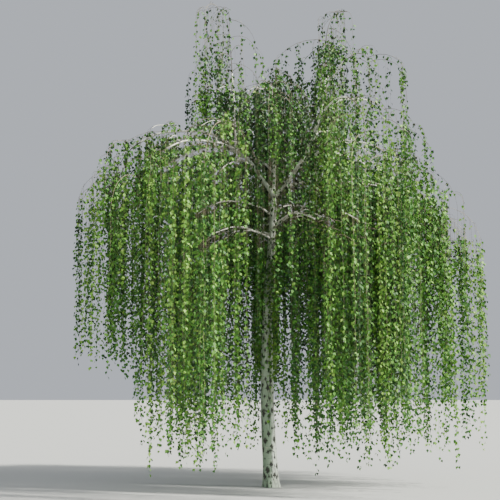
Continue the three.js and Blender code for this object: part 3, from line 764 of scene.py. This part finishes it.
twigs = []
side_boughs = []
for index, mass in enumerate(MASSES):
    stem = grow_stem(mass, index)
    roll = stem["roll"]
    limb = limbs[mass.limb]
    twigs.append({**stem, "radii": (limb["last"], STEM_TIP_RADIUS), "mass": mass, "tone": 0})
    bows = [(stem["bow"], stem["heading"])]
    count = round(mass.reach / REACH_PER_TWIG)
    for k in range(count):
        share = FIRST_SHARE + (LAST_SHARE - FIRST_SHARE) * (k + roll(*TWIG_SHIFT)) / count
        turn = 2 * ((FIRST_TURN + k * GOLDEN) % 1) - 1
        twig = grow_side_twig(stem["bow"], stem, mass, share, turn, roll, mass.reach)
        twigs.append({**twig, "radii": (TWIG_RADIUS, TWIG_TIP_RADIUS), "mass": mass, "tone": 0})
        bows.append((twig["bow"], twig["heading"]))
    roll = dice(FINE_SEED + index)
    outer = limb["line"][int(len(limb["line"]) * BARE_LIMB[limb["parent"]]):]
    spine = even_line(np.vstack([outer, stem["bow"]]))
    reach = mass.reach * WIDER.get(mass.place, 1)
    extra = round(len(spine) * SPINE_STEP * mass.fullness * TWIGS_PER_METRE)
    for k in range(extra):
        share = (k + roll(0, 1)) / extra
        turn = 2 * ((FINE_FIRST_TURN + k * GOLDEN) % 1) - 1
        twig = grow_side_twig(spine, stem, mass, share, turn, roll, reach)
        line = cut_for_sky(twig["line"], roll)
        if line is not None:
            twigs.append({**twig, "line": line, "radii": (FINE_TWIG_RADIUS, TWIG_TIP_RADIUS), "mass": mass,
                          "tone": roll(*TONES)})
            bows.append((twig["bow"][:len(line)], twig["heading"]))
    if mass.limb.startswith("bough") and mass.limb not in UNFORKED and limb["length"] > SHORTEST_FORKED:
        for k in range(SIDE_BOUGHS):
            share = SIDE_BOUGH_FROM + SIDE_BOUGH_STEP * k + roll(*SIDE_BOUGH_SHIFT)
            start = point_along(limb["line"], share)
            way = limb["heading"] + (1 if (k + index) % 2 else -1) * roll(*SIDE_BOUGH_TURNS)
            length = limb["length"] * roll(*SIDE_BOUGH_LENGTHS)
            rise = roll(*SIDE_BOUGH_RISES)
            line = arch(start, way, rise, roll(*SIDE_BOUGH_FALLS), length, SIDE_BOUGH_RINGS)
            line = crooked(line, side_of(way), roll)
            radius = (limb["first"] * (1 - share) + limb["last"] * share) * SIDE_BOUGH_THICKNESS
            side_boughs.append((line, way, radius))
            bows.append((line[SIDE_BOUGH_BARE:], way))
    bows.append((outer, limb["heading"]))
    for bow, heading in bows:
        hang_strands(bow, heading, mass, roll)

# A thin curtain of strands with light green leaves hangs in front of the trunk; the light green is
# painted light on leaves that hang in shade. It grows from the feet of the two low front boughs.
CURTAIN_LIMBS = {"bough_low_front_left", "bough_low_front_right"}
CURTAIN_SEED = 700
CURTAIN_ROUNDS = 5
# Lighter greens for the curtain's leaves, which are painted light.
CURTAIN_PAINTED_LIGHT_TONES = (0.5, 1.3)
CURTAIN_POINTS = 12
for index, mass in enumerate(MASSES):
    if mass.limb in CURTAIN_LIMBS:
        roll = dice(CURTAIN_SEED + index)
        limb = limbs[mass.limb]
        for _ in range(CURTAIN_ROUNDS):
            hang_strands(limb["line"][1:CURTAIN_POINTS], limb["heading"], mass, roll, CURTAIN_PAINTED_LIGHT_TONES)

# The side boughs are short, thin boughs with pale bark, which leave the limbs to either side in turn
# and droop. Each grows out of its limb, and all are joined in one piece.
SIDE_PHASE_STEP = 1.3
SIDE_RELIEF_LENGTH = 0.8
side_bough_bark = bark_material("side bough bark", (0.93, 0.92, 0.8), (0.78, 0.77, 0.64), 0.1, -0.1)
bm = bmesh.new()
for k, (line, heading, first) in enumerate(side_boughs):
    radii = np.linspace(first, SIDE_BOUGH_TIP_RADIUS, len(line))
    relief = limb_relief(k * SIDE_PHASE_STEP, SIDE_RELIEF_LENGTH)
    add_tube(bm, line, side_of(heading), radii, SIDE_BOUGH_SIDES, relief)
mass_nodes = ["foliage_" + mass.place for mass in MASSES]
finish_piece("side_boughs", bm, side_bough_bark, "bough_bark", *mass_nodes)

# The twigs are thin, smooth and brown, and hang straight down from where they arch over. Each grows
# out of its stem, limb or larger twig. They are joined by the side of the crown that they hang on.
TWIG_SIDES = 3
TWIG_ROUGHNESS, TWIG_SPECULAR = 0.6, 0.3
TWIG_SHADES = [(0.05, 0.04, 0.024), (0.26, 0.23, 0.15), (0.1, 0.084, 0.05)]


def mesh_of(name, points, triangles, shades):
    """A mesh from arrays: points, triangles and each triangle's material number."""
    mesh = bpy.data.meshes.new(name)
    mesh.vertices.add(len(points))
    mesh.vertices.foreach_set("co", points.astype(np.float32).ravel())
    mesh.loops.add(triangles.size)
    mesh.loops.foreach_set("vertex_index", triangles.astype(np.int32).ravel())
    mesh.polygons.add(len(triangles))
    mesh.polygons.foreach_set("loop_start", np.arange(0, triangles.size, 3, dtype=np.int32))
    mesh.polygons.foreach_set("material_index", shades.astype(np.int32))
    mesh.update(calc_edges=True)
    return mesh


def nodes_on(crown_side):
    return ["foliage_" + mass.place for mass in MASSES if mass.side == crown_side]


def plain_material(name, colour, roughness, specular):
    material, _, surface = new_material(name, roughness, specular)
    surface["Base Color"].default_value = (*colour, 1)
    return material


def twig_tube(twig, first_point):
    """Points and triangles of a three-sided twig that ends in a point."""
    line = twig["line"]
    normal, across = frames_along(line, side_of(twig["heading"]))
    foot, tip = twig["radii"]
    radii = (tip + (foot - tip) * np.linspace(1, 0, len(line)) ** 2)[:, None, None]
    angles = np.arange(TWIG_SIDES) * math.tau / TWIG_SIDES
    out = normal[:, None] * np.cos(angles)[None, :, None] + across[:, None] * np.sin(angles)[None, :, None]
    points = (line[:, None] + out * radii)[:-1].reshape(-1, 3)
    points = np.vstack([points, line[-1]])
    rings = len(line) - 1
    here = np.arange(rings * TWIG_SIDES).reshape(rings, TWIG_SIDES)
    beside = np.roll(here, -1, axis=1)
    low, high = here[:-1], here[1:]
    low_beside, high_beside = beside[:-1], beside[1:]
    walls = np.stack([low, low_beside, high_beside, low, high_beside, high], axis=-1).reshape(-1, 3)
    tip = np.stack([here[-1], beside[-1], np.full(TWIG_SIDES, rings * TWIG_SIDES)], axis=-1)
    return points, np.vstack([walls, tip]) + first_point


twig_browns = [plain_material(f"twig brown {k + 1}", shade, TWIG_ROUGHNESS, TWIG_SPECULAR)
               for k, shade in enumerate(TWIG_SHADES)]
for crown_side in SIDES_OF_CROWN:
    points, triangles, shades, total = [], [], [], 0
    for number, twig in enumerate(twigs):
        if twig["mass"].side != crown_side:
            continue
        tube_points, tube_triangles = twig_tube(twig, total)
        total += len(tube_points)
        points.append(tube_points)
        triangles.append(tube_triangles)
        shades.append(np.full(len(tube_triangles), number % len(TWIG_SHADES)))
    mesh = mesh_of("twigs_" + crown_side, np.vstack(points), np.vstack(triangles), np.concatenate(shades))
    mesh.shade_smooth()
    place_piece("twigs_" + crown_side, mesh, twig_browns, "twig_bark", *nodes_on(crown_side))

# The leaves are small, thin and pointed, each on a short stalk, and hang singly or in pairs from
# knots along the twigs. Their greens are dealt out by spray, and they are joined as the twigs are.
LEAF_SEED = 8
LEAF_ROUGHNESS, LEAF_SPECULAR = 0.55, 0.25
LEAF_SHADES = [(0.007, 0.028, 0.005), (0.015, 0.061, 0.01), (0.031, 0.108, 0.014), (0.06, 0.17, 0.02),
               (0.1, 0.242, 0.028), (0.148, 0.296, 0.04), (0.208, 0.35, 0.06)]
KNOT_SPACING = 0.08
KNOT_SHIFT = (0.1, 0.9)
FIRST_KNOT = 0.1
TWO_LEAVES = 0.45
# These are in radians: the turn from knot to knot, and how far that, a pair and a leaf may differ.
KNOT_TURN = 2.4
KNOT_SPLAY, PAIR_SPLAY, LEAF_ROLL = 0.6, 1.6, 1.0
LEAF_LENGTHS = (0.05, 0.07)
LEAF_WIDTH = 0.84
STALK = 0.26
SPUR_LENGTHS = (0.004, 0.024)
LEANS = (8, 50)
LOWEST_LEAF = 0.12
PAST_CAD_BOX = 0.1
TONE_MIDDLE = 2.75
TONE_BY_SPRAY = 1.9
TONE_BY_PLACE = 2.2
TONE_SCALE = 2.4
TONE_BY_LEAF = 0.85
# Leaves are darker towards the top of the crown. The masses listed below get darker greens, darkest in the
# crown's middle, which is painted shade.
TONE_BY_HEIGHT = 0.45
DARKER_FROM = 5.5
PAINTED_SHADE_BY_MASS = {"crown_top": 1.4, "crown_front": 1.2, "dome_top": 0.3, "back": 0.6}
# A leaf from above: half width as a share of the widest, place along it as a share of its length,
# and how far its edges are folded up, for the stalk's foot, blade's foot, widest points and tip.
LEAF_POINTS = np.array([[0.03, -STALK, 0], [-0.03, -STALK, 0], [0, 0, 0], [1, 0.36, 0.1], [-1, 0.36, 0.1],
                        [0, 1, 0]])
LEAF_FACES = np.array([[0, 2, 1], [2, 3, 5], [2, 5, 4]])

# Leaves are few where a limb shows through them from the front: in these parts of the photo's frame,
# and as far as the last number to either side of the limb.
SHOWING = [(140, 118, 262, 190, 2), (190, 190, 262, 262, 3), (262, 160, 302, 262, 4),
           (300, 212, 358, 270, 3)]
VEIL_SHARE = 0.1
VEIL_GAP = 0.05
VEIL_FOOT = 4.2
# They are fewer, too, where they would keep the sun off these limbs.
TO_SUN = np.array([0.88, -0.3, 0.9])
SUN_CELLS = 600
CELLS_PER_METRE = 40
SHADE_SHARE = 0.3
NO_LIMB = -1e9


def unit(vectors):
    return vectors / np.linalg.norm(vectors, axis=1)[:, None]


def from_the_front(points):
    """Columns and rows of points in the photo's frame, and their depths."""
    x, y = photo_pixels(points)
    last = PHOTO_SIDE - 1
    return np.clip(x, 0, last).astype(int), np.clip(y, 0, last).astype(int), points[:, 1]


def from_the_sun(points):
    """Columns and rows of points in a frame that faces the sun, and their depths."""
    ahead = -TO_SUN / np.linalg.norm(TO_SUN)
    across = side_of(math.degrees(math.atan2(TO_SUN[1], TO_SUN[0])))
    x = points @ across * CELLS_PER_METRE + SUN_CELLS / 2
    y = points @ np.cross(across, ahead) * CELLS_PER_METRE + SUN_CELLS / 2
    return x.astype(int), y.astype(int), points @ ahead


def depths_of_limbs(view, cells, showing, hidden=()):
    """The depth of the limbs that show, over a frame's cells."""
    depths = np.full((cells, cells), NO_LIMB)
    for name, limb in limbs.items():
        if name in hidden:
            continue
        line = trunk_line[trunk_line[:, 2] > VEIL_FOOT] if name == "trunk" else limb["line"]
        x, y = photo_pixels(line)
        for x_from, y_from, x_to, y_to, reach in showing:
            shown = line[(x > x_from) & (x < x_to) & (y > y_from) & (y < y_to)]
            for column, row, depth in zip(*view(shown)):
                near = (slice(row - reach, row + reach + 1), slice(column - reach, column + reach + 1))
                depths[near] = np.maximum(depths[near], depth)
    return depths


seen_limbs = depths_of_limbs(from_the_front, PHOTO_SIDE, SHOWING, VEILED_LIMBS)
# The limbs in the first part are at the crown's surface, in the sun.
lit_limbs = depths_of_limbs(from_the_sun, SUN_CELLS, SHOWING[1:])

rng = np.random.default_rng(LEAF_SEED)
lowest, highest = np.array(cad_box) + np.array([[-PAST_CAD_BOX], [PAST_CAD_BOX]])
greens = [plain_material(f"leaf green {k + 1}", colour, LEAF_ROUGHNESS, LEAF_SPECULAR)
          for k, colour in enumerate(LEAF_SHADES)]
for crown_side in SIDES_OF_CROWN:
    knots, tones = [], []
    for twig in twigs:
        if twig["mass"].side != crown_side:
            continue
        line = twig["line"]
        run = run_of(line)
        count = max(1, int((run[-1] - FIRST_KNOT) / KNOT_SPACING))
        place = FIRST_KNOT + (np.arange(count) + rng.uniform(*KNOT_SHIFT, count)) * KNOT_SPACING
        knots.append(points_at(np.minimum(place, run[-1]), run, line))
        x, y, _ = line[-1] * TONE_SCALE
        tone = twig["tone"] * TONE_BY_SPRAY + noise.noise(Vector((x, y, 0))) * TONE_BY_PLACE
        # Painted shade: darker greens for the masses in the crown's middle and a few others.
        tone -= PAINTED_SHADE_BY_MASS.get(twig["mass"].place, 0)
        tones.append(np.full(count, tone))
    knots, tones = np.vstack(knots), np.concatenate(tones)
    azimuth = np.arange(len(knots)) * KNOT_TURN + rng.uniform(-KNOT_SPLAY, KNOT_SPLAY, len(knots))
    leaves_here = 1 + (rng.uniform(0, 1, len(knots)) < TWO_LEAVES)
    spur = rng.uniform(*SPUR_LENGTHS, len(knots))
    knot = np.repeat(np.arange(len(knots)), leaves_here)
    count = len(knot)
    turn = azimuth[knot] + rng.uniform(-PAIR_SPLAY, PAIR_SPLAY, count) * (leaves_here[knot] > 1)
    out = np.column_stack([np.cos(turn), np.sin(turn), np.zeros(count)])
    lean = np.radians(rng.uniform(*LEANS, count))[:, None]
    along = unit(out * np.sin(lean) + np.array([0, 0, -1.0]) * np.cos(lean))
    root = knots[knot] + along * spur[knot][:, None]
    width = unit(np.cross(along, out))
    face = np.cross(width, along)
    turned = rng.uniform(-LEAF_ROLL, LEAF_ROLL, count)[:, None]
    broad, flat = width * np.cos(turned), width * np.sin(turned)
    width, face = broad + face * np.sin(turned), face * np.cos(turned) - flat
    size = rng.uniform(*LEAF_LENGTHS, count)
    columns, rows, depth = from_the_sun(root)
    share = np.where(depth < lit_limbs[rows, columns] - VEIL_GAP, SHADE_SHARE, 1)
    columns, rows, depth = from_the_front(root)
    share = np.where(depth < seen_limbs[rows, columns] - VEIL_GAP, VEIL_SHARE, share)
    x, y = photo_pixels(root)
    for x_from, y_from, x_to, y_to, left in THIN_PATCHES:
        share = np.where((x > x_from) & (x < x_to) & (y > y_from) & (y < y_to), left, share)
    kept = (rng.uniform(0, 1, count) < share) & (root[:, 2] > LOWEST_LEAF)
    kept &= np.all((root > lowest) & (root < highest), axis=1)
    root, along, width, face, size, knot = (a[kept] for a in (root, along, width, face, size, knot))
    count = len(root)
    local = (LEAF_POINTS * np.array([LEAF_WIDTH / 2, 1, 1]))[None] * size[:, None, None]
    foot = root + along * (size * STALK)[:, None]
    points = (foot[:, None] + local[..., :1] * width[:, None] + local[..., 1:2] * along[:, None]
              + local[..., 2:] * face[:, None]).reshape(-1, 3)
    triangles = (LEAF_FACES[None] + np.arange(count)[:, None, None] * len(LEAF_POINTS)).reshape(-1, 3)
    tone = TONE_MIDDLE + tones[knot] + rng.normal(0, TONE_BY_LEAF, count)
    tone -= TONE_BY_HEIGHT * np.maximum(0, root[:, 2] - DARKER_FROM)
    shade = np.clip(np.round(tone), 0, len(LEAF_SHADES) - 1)
    mesh = mesh_of("leaves_" + crown_side, points, triangles, np.repeat(shade, len(LEAF_FACES)))
    place_piece("leaves_" + crown_side, mesh, greens, "foliage", *nodes_on(crown_side))

# The stage is a plain pale floor and a pale sky. The light is the sun's, from the right, with a soft
# fill from the front and a weak, low side light that reaches the trunk under the hanging twigs.
FLOOR_SIZE, FLOOR_GAP = 900, 0.002
FLOOR_GREY, FLOOR_ROUGHNESS, FLOOR_SPECULAR = (0.42, 0.43, 0.41), 0.9, 0.2
SKY_COLOUR, SKY_STRENGTH = (0.86, 0.91, 1.0, 1), 0.6
WHITE = (1.0, 1.0, 1.0)
# The columns are: name, strength, spread, colour, direction.
LIGHTS = [
    ("sun", 10.5, 4, (1.0, 0.97, 0.9), -TO_SUN),
    ("fill", 1.1, 70, WHITE, (0.1, 0.95, -0.4)),
    ("side light", 2.6, 15, WHITE, (-0.95, 0.25, -0.16)),
]
SENSOR_WIDTH = 36

bpy.ops.mesh.primitive_plane_add(size=FLOOR_SIZE, location=(0, 0, -FLOOR_GAP))
floor = bpy.context.object
floor.name = "floor"
floor.data.materials.append(plain_material("floor", FLOOR_GREY, FLOOR_ROUGHNESS, FLOOR_SPECULAR))

for name, strength, spread, colour, direction in LIGHTS:
    light = bpy.data.lights.new(name, "SUN")
    light.energy = strength
    light.angle = math.radians(spread)
    light.color = colour
    light_object = bpy.data.objects.new(name, light)
    light_object.rotation_euler = Vector(direction).to_track_quat("-Z", "Y").to_euler()
    bpy.context.scene.collection.objects.link(light_object)

world = bpy.data.worlds.new("sky")
world.use_nodes = True
background = world.node_tree.nodes["Background"].inputs
background["Color"].default_value = SKY_COLOUR
background["Strength"].default_value = SKY_STRENGTH
bpy.context.scene.world = world

camera = bpy.data.cameras.new("camera")
camera.sensor_width = SENSOR_WIDTH
camera.lens = SENSOR_WIDTH * LENS_PIXELS / PHOTO_SIDE
camera_object = bpy.data.objects.new("camera", camera)
camera_object.location = EYE
camera_object.rotation_euler = (math.radians(90 + EYE_TILT), 0, 0)
bpy.context.scene.collection.objects.link(camera_object)
bpy.context.scene.camera = camera_object
